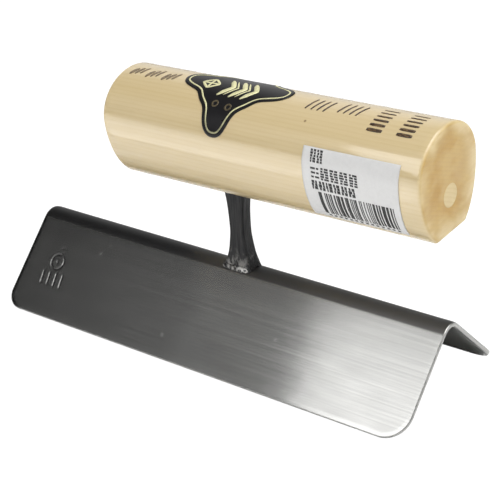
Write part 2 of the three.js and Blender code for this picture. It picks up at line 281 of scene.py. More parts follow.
def handle_wood():
    """Pale close-grained wood under clear lacquer, its end grain darker, with one small pin knot."""
    s = Shader("handle_wood_lacquered")
    grain = s.attribute("grain")
    side, late, fibre = wood_colours(
        s, grain, (0.665, 0.54, 0.32, 1), (0.61, 0.48, 0.255, 1), (0.50, 0.35, 0.155, 1), 0.14)
    pores = s.noise(s.scaled(grain, (0.35, 6.0, 6.0)), detail=2, roughness=0.4)
    side = s.mix(s.remap(pores, 0.66, 0.76, 0.0, 0.22), side, (0.45, 0.28, 0.11, 1))
    knot = s.distance(grain, from_handle(on_skin(36.8, -8.5, 0.0)))
    side = s.mix(s.remap(knot, 0.2, 0.5, 0.8, 0.0), side, (0.17, 0.085, 0.03, 1))
    face, _, _ = wood_colours(
        s, grain, (0.50, 0.305, 0.055, 1), (0.43, 0.245, 0.035, 1), (0.36, 0.195, 0.03, 1), 0.2)
    end, rim, outer = s.split(s.attribute("end"))
    pale_patch_noise = s.noise(s.scaled(grain, (0.1, 0.10, 0.15), (2, 4, 1)), detail=2)
    patches = s.remap(pale_patch_noise, 0.42, 0.62, 0.0, 0.25)
    # painted highlight: the end face is lighter towards its outline, where the rounded rim catches the
    # light; the patches elsewhere are random paler end grain
    border = s.math("MULTIPLY", outer, s.remap(pale_patch_noise, 0.3, 0.6, 0.2, 0.7))
    face = s.mix(s.math("ADD", patches, border), face, (0.68, 0.55, 0.29, 1))
    saw = s.noise(s.scaled(grain, (0.2, 0.06, 1.6), (2, 0, 0)), detail=2, roughness=0.6)
    face = s.mix(s.remap(saw, 0.45, 0.7, 0.0, 0.14), face, (0.42, 0.26, 0.11, 1))
    tone = s.mix(end, side, face)
    normal = s.bump(s.math("ADD", fibre, s.math("MULTIPLY", late, 0.5)), 0.10, 0.00005)
    return s.surface(
        Base_Color=tone, Roughness=s.remap(fibre, 0.2, 0.8, 0.36, 0.46), Normal=normal,
        Coat_Weight=s.remap(rim, 0.0, 1.0, 1.0, 0.2), Coat_Roughness=0.06, Coat_IOR=1.75,
    )


def plug_wood():
    s = Shader("plug_end_grain")
    grain = s.attribute("grain")
    tone, _, fibre = wood_colours(
        s, grain, (0.66, 0.53, 0.28, 1), (0.60, 0.465, 0.23, 1), (0.48, 0.33, 0.13, 1), 0.2)
    return s.surface(
        Base_Color=tone, Roughness=0.5, Normal=s.bump(fibre, 0.2, 0.00008),
        Coat_Weight=0.3, Coat_Roughness=0.25,
    )


def forged_steel():
    """Black forging scale with fine lengthwise streaks."""
    s = Shader("neck_black_forged")
    grain = s.attribute("grain")
    streak = s.noise(s.scaled(grain, (2.2, 2.2, 0.09)), detail=4, roughness=0.6)
    blotch = s.noise(s.scaled(grain, (0.5, 0.5, 0.3)), detail=4, roughness=0.6)
    _, _, z = s.split(grain)
    tone = s.mix(s.remap(streak, 0.35, 0.75), (0.015, 0.015, 0.016, 1), (0.052, 0.052, 0.052, 1))
    bare = s.math("MULTIPLY", s.remap(blotch, 0.5, 0.62), s.remap(z, 31.0, 25.0, 0.0, 0.85))
    tone = s.mix(bare, tone, (0.22, 0.215, 0.205, 1))
    normal = s.bump(streak, 0.5, 0.00012)
    normal = s.bump(blotch, 0.4, 0.0003, normal)
    return s.surface(
        Base_Color=tone, Metallic=0.85, Roughness=s.remap(streak, 0.3, 0.7, 0.36, 0.56), Normal=normal,
    )


def weld_metal():
    """Bead with heat scale, ground bright on its crest."""
    s = Shader("weld_bead_metal")
    grain = s.attribute("grain")
    spatter = s.noise(s.scaled(grain, (1.1, 1.1, 1.1)), detail=5, roughness=0.65)
    x, _, _ = s.split(grain)
    after = s.remap(x, 3.8, 5.4, smooth_step=True)
    before = s.remap(x, 9.4, 8.2, smooth_step=True)
    ground = s.math("MULTIPLY", s.math("MULTIPLY", after, before), s.remap(spatter, 0.42, 0.54))
    tone = s.mix(s.remap(spatter, 0.42, 0.66), (0.03, 0.03, 0.03, 1), (0.30, 0.295, 0.28, 1))
    tone = s.mix(ground, tone, (0.55, 0.545, 0.53, 1))
    return s.surface(
        Base_Color=tone, Metallic=0.9, Roughness=s.remap(spatter, 0.3, 0.7, 0.5, 0.3),
        Normal=s.bump(spatter, 0.7, 0.0003),
    )


def crest_film():
    s = Shader("crest_film_black")
    grain = s.attribute("grain")
    haze = s.noise(s.scaled(grain, (0.15, 0.3, 0.3)), detail=3)
    return s.surface(
        Base_Color=s.mix(haze, (0.009, 0.009, 0.010, 1), (0.016, 0.015, 0.016, 1)),
        Roughness=s.remap(haze, 0.3, 0.7, 0.26, 0.36), Normal=s.bump(haze, 0.05, 0.0003), IOR=1.3,
        Coat_Weight=0.05, Coat_Roughness=0.12,
    )


def gold_ink(name, tone, worn=0.0):
    s = Shader(name)
    grain = s.attribute("grain")
    wear = s.noise(s.scaled(grain, (1.1, 1.6, 1.6)), detail=4, roughness=0.6)
    dark = tuple(0.3 * c for c in tone[:3]) + (1,)
    _, _, height = s.split(grain)
    # the gold darkens towards the bottom of the crest, by height alone, on top of the random wear
    low_down = s.remap(height, 28.5, 24.0, 0.0, 0.7)
    wear_and_low_darkening = s.math("ADD", s.remap(wear, 0.3, 0.7, worn, worn + 0.3), low_down)
    return s.surface(
        Base_Color=s.mix(s.math("MINIMUM", wear_and_low_darkening, 1.0), tone, dark),
        Metallic=0.15, Roughness=0.42, Normal=s.bump(wear, 0.1, 0.00005),
    )


def label_paper():
    s = Shader("price_label_coated_paper")
    grain = s.attribute("grain")
    fibre = s.noise(s.scaled(grain, (0.9, 0.9, 0.9)), detail=5, roughness=0.7)
    tone = s.mix(s.remap(fibre, 0.3, 0.7), (0.61, 0.607, 0.60, 1), (0.655, 0.652, 0.645, 1))
    return s.surface(
        Base_Color=tone, Roughness=0.5, Normal=s.bump(fibre, 0.15, 0.00004),
        Coat_Weight=0.15, Coat_Roughness=0.3,
    )


def printed_ink(name, dark, light, low=0.35, high=0.7):
    """Ink whose cover varies a little, as on a cheap print or a brushed stamp."""
    s = Shader(name)
    grain = s.attribute("grain")
    cover = s.noise(s.scaled(grain, (1.3, 1.6, 1.6)), detail=4, roughness=0.65)
    return s.surface(Base_Color=s.mix(s.remap(cover, low, high), dark, light), Roughness=0.45,
                     Coat_Weight=0.15, Coat_Roughness=0.12)


def rod_steel():
    s = Shader("locking_rod_drawn")
    place = s.add("ShaderNodeTexCoord").outputs["Object"]
    lines = s.noise(s.scaled(place, (30, 2500, 2500)), detail=3)
    return s.surface(
        Base_Color=s.mix(lines, (0.20, 0.20, 0.205, 1), (0.34, 0.34, 0.345, 1)), Metallic=1.0,
        Roughness=s.remap(lines, 0.3, 0.7, 0.35, 0.5),
    )


# ---------------------------------------------------------------- blade
def sheet_point(x, across, lift):
    """A point over the outer face: across is measured round the ridge, lift along the normal."""
    side = -1.0 if across < 0 else 1.0
    s = abs(across)
    radius = BEND_OUT + lift
    if s <= HALF_BEND:
        angle = s / BEND_OUT
        return (x, side * radius * math.sin(angle), BEND_Z + radius * math.cos(angle))
    down = s - HALF_BEND
    return (x, side * (radius + down) * COS45, BEND_Z + (radius - down) * COS45)


STAMP_DEPTH = 0.065
RING_X = -61.8
RING_DOWN = 13.3
RING_R = 2.5
STROKES_X = -65.4
STROKES_DOWN = 19.2
STROKE_STEP = 2.7
STROKE_HALF = 2.0
TICK_X = -61.2
TICK_DOWN = 8.6
TICK_HALF = 0.8


def stamp_depth(x, down):
    """Depth of a generic stamp in the near wing: a tick, a ring with a dot, and four short strokes."""
    dot = math.hypot(x - RING_X, down - RING_DOWN)
    line = max(0.0, 1 - smooth(0.12, 0.42, abs(dot - RING_R)), 1 - smooth(0.25, 0.6, dot))
    for k in range(4):
        along = min(STROKE_HALF, max(-STROKE_HALF, down - STROKES_DOWN))
        centre = STROKES_X + STROKE_STEP * k
        stroke = math.hypot(x - centre - 0.12 * along, down - STROKES_DOWN - along)
        line = max(line, 1 - smooth(0.1, 0.4, stroke))
    aside = x - TICK_X
    tick = math.hypot(aside - min(TICK_HALF, max(-TICK_HALF, aside)), down - TICK_DOWN)
    line = max(line, 0.6 * (1 - smooth(0.1, 0.4, tick)))
    return STAMP_DEPTH * line


def wing_wave(x, across):
    """Slight unevenness of a hand-straightened sheet, fading out towards its outline."""
    wave = noise.noise(Vector((x * 0.018, across * 0.03, 3.7)))
    fine = noise.noise(Vector((x * 0.06, across * 0.09, 8.1)))
    edge = smooth(0.0, 9.0, HALF_WIDTH - abs(across)) * smooth(0.0, 9.0, BLADE_LENGTH / 2 - abs(x))
    return -0.05 * edge * (0.5 + 0.5 * wave) - 0.012 * edge * (0.5 + 0.5 * fine)


def dressed(inset):
    """How far the deburred rim falls away from the face near an edge."""
    return -0.10 * (1 - smooth(0.2, 1.35, inset))


def edge_distance(x, across):
    """Distance from a point of the flattened sheet to its outline."""
    corner = CORNER_FRONT if x < 0 else CORNER_REAR
    dx = BLADE_LENGTH / 2 - abs(x)
    dw = HALF_WIDTH - abs(across)
    if dx < corner and dw < corner:
        return corner - math.hypot(corner - dx, corner - dw)
    return min(dx, dw)


def outline_ring(inset, corner_steps=14):
    """The sheet's rounded outline, moved inward, with the same points at every inset."""
    half = BLADE_LENGTH / 2
    ring = []

    def corner(x, across, radius, start):
        for i in range(1, corner_steps):
            angle = start + (math.pi / 2) * i / corner_steps
            r = radius - inset
            ring.append((x + r * math.cos(angle), across + r * math.sin(angle)))

    def side_places(radius):
        near = spread(-HALF_WIDTH + radius, -HALF_BEND, 16)[:-1]
        bend = spread(-HALF_BEND, HALF_BEND, 20)
        return near + bend + [-w for w in reversed(near)]

    along = spread(-half + CORNER_FRONT, half - CORNER_REAR, 90)
    ring += [(x, -HALF_WIDTH + inset) for x in along]
    corner(half - CORNER_REAR, -HALF_WIDTH + CORNER_REAR, CORNER_REAR, -math.pi / 2)
    ring += [(half - inset, w) for w in side_places(CORNER_REAR)]
    corner(half - CORNER_REAR, HALF_WIDTH - CORNER_REAR, CORNER_REAR, 0.0)
    ring += [(x, HALF_WIDTH - inset) for x in reversed(along)]
    corner(-half + CORNER_FRONT, HALF_WIDTH - CORNER_FRONT, CORNER_FRONT, math.pi / 2)
    ring += [(-half + inset, w) for w in reversed(side_places(CORNER_FRONT))]
    corner(-half + CORNER_FRONT, -HALF_WIDTH + CORNER_FRONT, CORNER_FRONT, math.pi)
    return ring


STAMP_BOX = (-68.0, -54.0, -HALF_BEND - 22.0, -HALF_BEND - 8.0)


def sheet_points(margin):
    """Points inside the outline: an even grid, with a fine one under the stamp."""
    x0, x1, w0, w1 = STAMP_BOX
    wings = spread(HALF_BEND, HALF_WIDTH, 26)[1:]
    across = [-w for w in reversed(wings)] + spread(-HALF_BEND, HALF_BEND, 20) + wings
    points = []
    for w in across:
        for x in spread(-BLADE_LENGTH / 2, BLADE_LENGTH / 2, 100):
            in_stamp = x0 - 0.2 < x < x1 + 0.2 and w0 - 0.2 < w < w1 + 0.2
            if edge_distance(x, w) > margin and not in_stamp:
                points.append((x, w))
    for w in spread(w0, w1, 64):
        points += [(x, w) for x in spread(x0, x1, 64)]
    return points


def make_blade(steel, edge):
    """The folded sheet: two faces filled over the same points and a rounded, dressed edge between."""
    margin = 1.6
    rim = outline_ring(margin)
    flat = rim + sheet_points(margin + 0.6)
    count = len(rim)
    loop = [(i, (i + 1) % count) for i in range(count)]
    filled = delaunay_2d_cdt([Vector(p) for p in flat], loop, [], 1, 1e-5)
    flat = [(v.x, v.y) for v in filled[0]]
    triangles = [tuple(f) for f in filled[2]]
    rim = [min(range(len(flat)), key=lambda k: math.dist(flat[k], p)) for p in rim]

    def outer_lift(x, w):
        down = abs(w) - HALF_BEND
        lift = wing_wave(x, w) + dressed(edge_distance(x, w))
        return lift - (stamp_depth(x, down) if w < 0 else 0.0)

    verts = []
    where = []
    for x, w in flat:
        verts.append(sheet_point(x, w, outer_lift(x, w)))
        where.append((x, w, 0.0))
    for x, w in flat:
        verts.append(sheet_point(x, w, wing_wave(x, w) - SHEET))
        where.append((x, w + 200.0, 0.0))
    faces = triangles + [tuple(len(flat) + i for i in reversed(t)) for t in triangles]
    slots = [0] * len(faces)

    # edge rings from the outer face to the inner one: (inset, depth through the sheet)
    profile = [(1.3, 0.0), (1.05, 0.0), (0.8, 0.0), (0.55, 0.0), (0.3, 0.01), (0.15, 0.05), (0.05, 0.13)]
    profile += [(0.0, 0.28), (0.0, 0.6), (0.0, 0.95), (0.06, 1.14), (0.2, 1.27), (0.45, 1.3), (1.0, 1.3)]
    previous = rim
    for inset, depth in profile:
        start = len(verts)
        for x, w in outline_ring(inset):
            wave = wing_wave(x, w)
            lift = wave + (dressed(inset) * max(0.0, 1 - 2 * depth / SHEET)) - depth
            verts.append(sheet_point(x, w, lift))
            where.append((x, w, depth))
        current = list(range(start, start + count))
        for i in range(count):
            j = (i + 1) % count
            faces.append((previous[i], current[i], current[j], previous[j]))
            slots.append(1 if 0.01 < depth else 0)
        previous = current
    inner = [len(flat) + i for i in rim]
    for i in range(count):
        j = (i + 1) % count
        faces.append((previous[i], inner[i], inner[j], previous[j]))
        slots.append(0)

    piece = new_piece("blade_sheet", verts, faces, [steel, edge], {"flat": where}, slots)
    mesh = piece.data
    layer = mesh.uv_layers.new(name="grain")
    place = mesh.attributes["flat"].data
    for corner in mesh.loops:
        x, w, _ = place[corner.vertex_index].vector
        layer.data[corner.index].uv = (0.5 + x / 200, 0.5 + w / 200)
    return piece


# ---------------------------------------------------------------- handle
HANDLE_TURN = Matrix.Rotation(-RISE, 3, "Y")
HANDLE_ROLL = Matrix.Rotation(ROLL, 3, "X")
SEAT = Vector((0, 0, SEAT_Z))
AXIS = Vector((0, 0, WAIST))


def on_handle(u, y, h):
    """From the handle's own frame, u along it, y across and h above its flat underside."""
    return SEAT + HANDLE_TURN @ (AXIS + HANDLE_ROLL @ (Vector((u, y, h)) - AXIS))


def from_handle(point):
    """Back into the handle's own frame."""
    return AXIS + HANDLE_ROLL.transposed() @ (HANDLE_TURN.transposed() @ (Vector(point) - SEAT) - AXIS)


def half_outline(crown_steps=44, keel_steps=40):
    """Half the section, from the top middle down to the middle of the flat underside."""
    points = []
    for i in range(crown_steps + 1):
        angle = math.pi / 2 * (1 - i / crown_steps)
        points.append((HALF_WIDE * math.cos(angle), WAIST + CROWN * math.sin(angle)))
    lowest = math.asin((WAIST - 0.5) / KEEL)
    for i in range(1, keel_steps + 1):
        angle = lowest * i / keel_steps
        points.append((HALF_WIDE * math.cos(angle), WAIST - KEEL * math.sin(angle)))
    edge = HALF_WIDE * math.cos(lowest)
    points += [(edge - 0.2, 0.26), (edge - 0.45, 0.12), (edge - 0.7, 0.04), (edge - 1.0, 0.0)]
    points += [((edge - 1.0) * k / 5, 0.0) for k in (4, 3, 2, 1)]
    return points


OUTLINE = half_outline()
ARC = [0.0]
for first, second in zip(OUTLINE, OUTLINE[1:]):
    ARC.append(ARC[-1] + math.dist(first, second))


def section_ring(inset):
    centre = WAIST - 1
    ring = []
    halves = [(-y, h) for y, h in OUTLINE] + [(0.0, 0.0)] + [(y, h) for y, h in reversed(OUTLINE[1:])]
    for y, h in halves:
        length = math.hypot(y, h - centre)
        scale = (length - inset) / length
        ring.append((y * scale, centre + (h - centre) * scale))
    return ring


def on_skin(u, around, lift):
    """A point over the lacquer: around is measured from the top middle, negative towards -Y."""
    s = abs(around)
    i = 1
    while ARC[i] < s:
        i += 1
    f = (s - ARC[i - 1]) / (ARC[i] - ARC[i - 1])
    y = OUTLINE[i - 1][0] + (OUTLINE[i][0] - OUTLINE[i - 1][0]) * f
    h = OUTLINE[i - 1][1] + (OUTLINE[i][1] - OUTLINE[i - 1][1]) * f
    depth = KEEL if h < WAIST else CROWN
    ny = y / HALF_WIDE ** 2
    nh = (h - WAIST) / depth ** 2
    n = math.hypot(ny, nh)
    side = -1.0 if around < 0 else 1.0
    return on_handle(u, side * (y + lift * ny / n), h + lift * nh / n)


def cut_out(piece, cutter):
    """Take one mesh from another for good, and drop the cutter."""
    change = piece.modifiers.new("cut", "BOOLEAN")
    change.operation = "DIFFERENCE"
    change.solver = "EXACT"
    change.object = cutter
    bpy.context.view_layer.update()
    shape = piece.evaluated_get(bpy.context.evaluated_depsgraph_get())
    piece.data = bpy.data.meshes.new_from_object(shape)
    piece.modifiers.clear()
    bpy.data.objects.remove(cutter)


def make_handle(material):
    """The wooden body with rounded ends, a blind hole for the dowel and a socket for the neck."""
    sections = []
    steps = 6
    for i in range(steps + 1):
        angle = math.pi / 2 * i / steps
        inset = END_ROUND * (1 - math.sin(angle))
        sections.append((HANDLE_FRONT + END_ROUND * (1 - math.cos(angle)), inset))
    sections += [(u, 0.0) for u in spread(HANDLE_FRONT + END_ROUND, HANDLE_REAR - END_ROUND, 60)[1:-1]]
    for i in range(steps + 1):
        angle = math.pi / 2 * (1 - i / steps)
        inset = END_ROUND * (1 - math.sin(angle))
        sections.append((HANDLE_REAR - END_ROUND * (1 - math.cos(angle)), inset))

    def facing(u, radius, blend):
        ring = []
        for y, h in section_ring(END_ROUND):
            length = math.hypot(y, h - BORE_H)
            cy, ch = y / length * radius, BORE_H + (h - BORE_H) / length * radius
            ring.append(on_handle(u, y + (cy - y) * blend, h + (ch - h) * blend))
        return ring

    blends = 7
    rings = [facing(HANDLE_FRONT, 0.6, 1 - k / blends) for k in range(blends)]
    for u, inset in sections:
        rings.append([on_handle(u, y, h) for y, h in section_ring(inset)])
    rings += [facing(HANDLE_REAR, PLUG_R + 0.2, k / blends) for k in range(1, blends + 1)]
    # close rings, so that the bore's rim doesn't shade the face around it
    rings += [facing(HANDLE_REAR, PLUG_R + 0.05, 1.0), facing(HANDLE_REAR, PLUG_R + 0.01, 1.0)]
    rings += [facing(HANDLE_REAR - 0.05, PLUG_R, 1.0)]
    rings += [facing(HANDLE_REAR - PLUG_DEPTH * k / 4, PLUG_R, 1.0) for k in (1, 2, 3, 4)]
    count = len(rings[0])
    verts = [p for ring in rings for p in ring]
    piece = new_piece("handle_body", verts, tube_faces(len(rings), count), [material])

    middle, half, depth = neck_size(SEAT_Z)
    gap = 0.12
    socket = rounded_ring(middle, half + gap, depth + gap, 1.0, 10)
    levels = (SEAT_Z - 3, SEAT_Z + 8)
    verts = [(x, y, z) for z in levels for x, y in socket]
    cutter = new_piece("socket_cutter", verts, tube_faces(2, len(socket)), [])
    cut_out(piece, cutter)
    paint(piece, "grain", from_handle)
    paint(piece, "end", end_weight)
    return piece


def end_weight(point):
    """On the end faces, beside them, and towards their outline, each from 0 to 1."""
    u, y, h = from_handle(point)
    inset = min(u - HANDLE_FRONT, HANDLE_REAR - u)
    outward = math.hypot(y / HALF_WIDE, (h - WAIST) / (CROWN if h > WAIST else KEEL))
    return (1 - smooth(0.0, 0.5, inset), 1 - smooth(0.3, 1.3, inset), smooth(0.5, 0.95, outward))


def paint(piece, label, formula):
    """Store a value worked out from each point's place, in mm, for the material to read."""
    mesh = piece.data
    layer = mesh.attributes.new(label, "FLOAT_VECTOR", "POINT")
    for vertex in mesh.vertices:
        layer.data[vertex.index].vector = formula(vertex.co / MM)


def make_plug(material):
    """Short dowel in the end of the handle, its face sanded with the handle's."""
    count = 96
    side = PLUG_R - PLUG_GAP
    face = HANDLE_REAR - PLUG_GAP
    shape = [(HANDLE_REAR - PLUG_DEPTH + 0.5, side), (HANDLE_REAR - 0.05, side), (face, side)]
    shape += [(face, r) for r in (PLUG_R - 0.2, 2.6, 1.8, 0.9)]
    verts = []
    for u, r in shape:
        for i in range(count):
            angle = 2 * math.pi * i / count
            verts.append(on_handle(u, r * math.cos(angle), BORE_H + r * math.sin(angle)))
    piece = new_piece("dowel_plug", verts, tube_faces(len(shape), count), [material])
    paint(piece, "grain", from_handle)
    return piece


# ---------------------------------------------------------------- neck and welds
def neck_size(z):
    """Middle and half width along the ridge, and half depth across it, as in the CAD."""
    below = max(0.0, WAIST_Z - z) / 12.4
    above = max(0.0, z - WAIST_Z) / (SEAT_Z - WAIST_Z)
    down = max(0.0, SPREAD_Z - z) / 19.4
    half = 2.66 + 2.2 * below ** 2.2 + 1.37 * above ** 2
    return NECK_X - 0.2 * below ** 3, half, 2.3 + 0.6 * down ** 1.5


def rounded_ring(x, half, depth, radius, steps):
    ring = []
    corners = [(1, 1), (-1, 1), (-1, -1), (1, -1)]
    for quarter, (sx, sy) in enumerate(corners):
        for i in range(steps + 1):
            angle = (quarter + i / steps) * math.pi / 2
            px = x + sx * (half - radius) + radius * math.cos(angle)
            ring.append((px, sy * (depth - radius) + radius * math.sin(angle)))
        nx, ny = corners[(quarter + 1) % 4]
        start = ring[-1]
        turn = (quarter + 1) * math.pi / 2
        end_x = x + nx * (half - radius) + radius * math.cos(turn)
        end = (end_x, ny * (depth - radius) + radius * math.sin(turn))
        for k in range(1, 6):
            ring.append(tuple(a + (b - a) * k / 6 for a, b in zip(start, end)))
    return ring


def ridge_z(y):
    """Height of the blade's outer face beside the ridge line."""
    return BEND_Z + math.sqrt(BEND_OUT ** 2 - y * y)


def make_neck(material):
    """Hand-forged neck: a waisted bar whose foot is saddled over the ridge."""
    levels = spread(FOOT_Z, SEAT_Z + 2.5, 88)
    verts = []
    for z in levels:
        middle, half, depth = neck_size(min(z, SEAT_Z))
        for x, y in rounded_ring(middle, half, depth, 0.9, 5):
            fade = max(0.0, 1 - (z - FOOT_Z) / 6) ** 2
            height = z + (ridge_z(y) - FOOT_Z) * fade
            along = Vector((x - middle, y, 0)).normalized()
            streak = noise.noise(Vector((x * 1.5, y * 1.5, z * 0.06)))
            dent = noise.noise(Vector((x * 0.35, y * 0.35, z * 0.22 + 9)))
            hold = smooth(0.0, 1.5, SEAT_Z - z)
            shift = (0.07 * streak + 0.10 * dent - 0.08) * hold
            verts.append((x + along.x * shift, y + along.y * shift, height))
    count = len(verts) // len(levels)
    piece = new_piece("neck_forging", verts, tube_faces(len(levels), count), [material])
    paint(piece, "grain", tuple)
    return piece


def make_weld(name, side, material, seed):
    """Lumpy fillet of weld along one side of the foot."""
    length, rings, count = 9.9, 90, 28
    verts = []
    for i in range(rings + 1):
        f = i / rings
        taper = math.sqrt(max(0.0, 1 - (2 * f - 1) ** 6))
        x = NECK_X - 0.8 + length * (f - 0.5)
        ripple = 1 + 0.05 * math.sin(f * 30 + seed) + 0.10 * noise.noise(Vector((x * 0.7, seed, 0)))
        centre = 2.5 + 0.2 * math.sin(math.pi * f) + 0.12 * noise.noise(Vector((x * 0.5, seed + 4, 1)))
        for k in range(count):
            angle = 2 * math.pi * k / count
            place = Vector((x * 1.1, 2 * math.cos(angle), 2 * math.sin(angle) + seed))
            r = max(0.02, taper) * ripple * (1 + 0.12 * noise.noise(place))
            y = centre + 0.8 * r * math.cos(angle)
            z = ridge_z(centre) + 0.15 + 0.9 * r * math.sin(angle)
            verts.append((x, side * y, z - 0.55 * max(0.0, y - centre)))
    piece = new_piece(name, verts, tube_faces(rings + 1, count), [material])
    paint(piece, "grain", tuple)
    return piece


# ---------------------------------------------------------------- labels and ink
def skin_sheet(name, grid, material, low, high, wrap=False):
    """Closed thin sheet on the lacquer from rows of (u, around) places."""
    rows, cols = len(grid), len(grid[0])
    verts = [on_skin(u, a, low) for row in grid for u, a in row]
    verts += [on_skin(u, a, high) for row in grid for u, a in row]
    size = rows * cols
    span = cols if wrap else cols - 1
    faces = []
    for r in range(rows - 1):
        for c in range(span):
            d = (c + 1) % cols
            quad = (r * cols + c, r * cols + d, (r + 1) * cols + d, (r + 1) * cols + c)
            faces.append(tuple(reversed(quad)))
            faces.append(tuple(size + i for i in quad))
    border = [(0, c) for c in range(cols)]
    if wrap:
        loops = [border, [(rows - 1, c) for c in range(cols)]]
    else:
        border += [(r, cols - 1) for r in range(1, rows)]
        border += [(rows - 1, c) for c in range(cols - 2, -1, -1)]
        border += [(r, 0) for r in range(rows - 2, 0, -1)]
        loops = [border]
    for loop in loops:
        for (r0, c0), (r1, c1) in zip(loop, loop[1:] + loop[:1]):
            a, b = r0 * cols + c0, r1 * cols + c1
            faces.append((a, b, b + size, a + size))
    piece = new_piece(name, verts, faces, [material])
    paint(piece, "grain", from_handle)
    return piece


def stroke_mesh(path, width, low, high, taper=0.35):
    """Vertices and faces of one closed brush or print stroke along (u, around) places."""
    fine = []
    for (u0, a0), (u1, a1) in zip(path, path[1:]):
        steps = max(1, math.ceil(math.dist((u0, a0), (u1, a1)) / 0.5))
        fine += [(u0 + (u1 - u0) * k / steps, a0 + (a1 - a0) * k / steps) for k in range(steps)]
    fine.append(path[-1])
    verts = []
    last = len(fine) - 1
    for i, (u, a) in enumerate(fine):
        before, after = fine[max(0, i - 1)], fine[min(last, i + 1)]
        du, da = after[0] - before[0], after[1] - before[1]
        length = math.hypot(du, da)
        nu, na = -da / length, du / length
        end = min(i, last - i) / max(1.0, last * 0.18)
        half = width / 2 * (taper + (1 - taper) * min(1.0, end))
        for lift in (low, high):
            for k in (-1, 0, 1):
                verts.append(on_skin(u + nu * half * k, a + na * half * k, lift))
    order = [0, 1, 2, 5, 4, 3]
    faces = []
    for i in range(last):
        a, b = 6 * i, 6 * (i + 1)
        for m in range(6):
            n = order[(m + 1) % 6]
            faces.append((a + order[m], a + n, b + n, b + order[m]))
    faces.append(tuple(order[::-1]))
    faces.append(tuple(6 * last + m for m in order))
    return verts, faces


def strokes(name, paths, material, low, high, taper=0.35):
    """One piece from many strokes; a path is (width, place, place, ...)."""
    verts, faces = [], []
    for width, *path in paths:
        v, f = stroke_mesh(path, width, low, high, taper)
        faces += [tuple(i + len(verts) for i in face) for face in f]
        verts += v
    piece = new_piece(name, verts, faces, [material])
    paint(piece, "grain", from_handle)
    return piece


def crest_radius(angle):
    """Four rounded lobes: distance from the middle for a direction."""
    quarter = math.pi / 2
    off = abs((angle + quarter / 2) % quarter - quarter / 2)
    return 11.6 + 6.6 * math.exp(-((off / 0.34) ** 2.6))


def crest_outline(inset, count):
    """The lobed outline moved inward by a constant distance."""
    ring = []
    for i in range(count):
        angle = 2 * math.pi * i / count
        step = 0.002
        r = crest_radius(angle)
        slope = (crest_radius(angle + step) - crest_radius(angle - step)) / (2 * step)
        tx = slope * math.cos(angle) - r * math.sin(angle)
        ty = slope * math.sin(angle) + r * math.cos(angle)
        t = math.hypot(tx, ty)
        u = CREST_U + r * math.cos(angle) - inset * ty / t
        ring.append((u, r * math.sin(angle) + inset * tx / t))
    return ring


def make_crest(film, gold, bronze):
    """Lobed black film with a fine gold border line and a plain geometric device."""
    count = 320
    rows = []
    outer = crest_outline(0.0, count)
    for k in range(26):
        f = 0.02 + 0.98 * k / 25
        rows.append([(CREST_U + (u - CREST_U) * f, a * f) for u, a in outer])
    piece = skin_sheet("crest_film", rows, film, FILM_LIFT, FILM_TOP, wrap=True)
    border = [crest_outline(inset, count) for inset in (1.52, 1.29, 1.06)]
    low, high = FILM_TOP - 0.01, FILM_TOP + 0.05
    line = skin_sheet("crest_border_line", border, gold, low, high, wrap=True)
    paths = []
    # a plain diamond at the left, two crossing bars inside it
    tips = ((-3.0, 0), (0, 2.5), (3.0, 0), (0, -2.5))
    for start, stop in zip(tips, tips[1:] + tips[:1]):
        paths.append((0.75, (0.2 + start[0], -1.3 + start[1]), (0.2 + stop[0], -1.3 + stop[1])))
    for start, stop in ((tips[0], tips[2]), (tips[1], tips[3])):
        paths.append((0.7, (0.2 + start[0], -1.3 + start[1]), (0.2 + stop[0], -1.3 + stop[1])))
    # three nested chevrons beside it, with a fine line between each two
    for k in range(3):
        u = 5.2 + 4.0 * k
        paths.append((1.45, (u, 2.6), (u + 3.0, -1.6), (u, -5.8)))
        if k < 2:
            paths.append((0.5, (u + 2.0, 2.2), (u + 4.6, -1.6), (u + 2.0, -5.4)))
    device = strokes("crest_device", paths, gold, low, high)
    dots = []
    for u, a in ((6.6, -8.7), (11.3, -9.1)):
        turns = [t * math.pi / 8 for t in range(17)]
        dots.append((0.5, *[(u + 0.9 * math.cos(t), a + 0.9 * math.sin(t)) for t in turns]))
    discs = strokes("crest_small_rings", dots, bronze, low, high, taper=1.0)
    return piece, line, device, discs


def make_price_label(paper, print_ink):
    """Paper sticker with generic print: dashes for words and an uneven bar pattern."""
    rows = []
    for a in spread(LABEL_TOP, LABEL_BOTTOM, 60):
        lean = 0.5 + 1.1 * (a - LABEL_TOP) / (LABEL_TOP - LABEL_BOTTOM)
        rows.append([(u + lean, a) for u in spread(LABEL_FRONT, LABEL_REAR, 60)])
    label = skin_sheet("price_paper", rows, paper, FILM_LIFT, FILM_TOP)
    rng = random.Random(7)
    paths = []

    def word(u, a, width, height, lines, weight):
        """A block of short dashes of uneven length, about as dark as a printed word."""
        for line in range(lines):
            down = a - height * (line + 0.5) / lines
            split = rng.uniform(0.3, 0.6) * width
            paths.append((weight, (u + rng.uniform(0.0, 0.15) * width, down), (u + split, down)))
            paths.append((weight, (u + split + 0.35, down), (u + width, down)))

    # two small blocks near the top left corner, a row of five under them, then a bolder row
    for block in range(2):
        word(41.7 + 2.1 * block, -15.4, 1.75, 3.6, 5, 0.6)
    for block in range(5):
        word(41.8 + 3.0 * block, -19.9, 2.6, 3.8, 5 if block else 3, 0.56)
    for block in range(6):
        word(41.4 + 2.35 * block, -24.1, 2.0, 2.9, 3, 0.9)
    # uneven bars, with a row of fine ticks under them
    u = 43.2
    while u < 66.4:
        width = rng.choice((0.3, 0.3, 0.5, 0.75))
        paths.append((width, (u, -27.7), (u - 0.3, -36.0)))
        u += width + rng.choice((0.24, 0.3, 0.6))
    for tick in range(14):
        u = 43.4 + 1.66 * tick
        paths.append((0.75, (u, -36.9), (u + 0.85, -36.9)))
    low, high = FILM_TOP - 0.01, FILM_TOP + 0.025
    return label, strokes("price_print", paths, print_ink, low, high, taper=1.0)


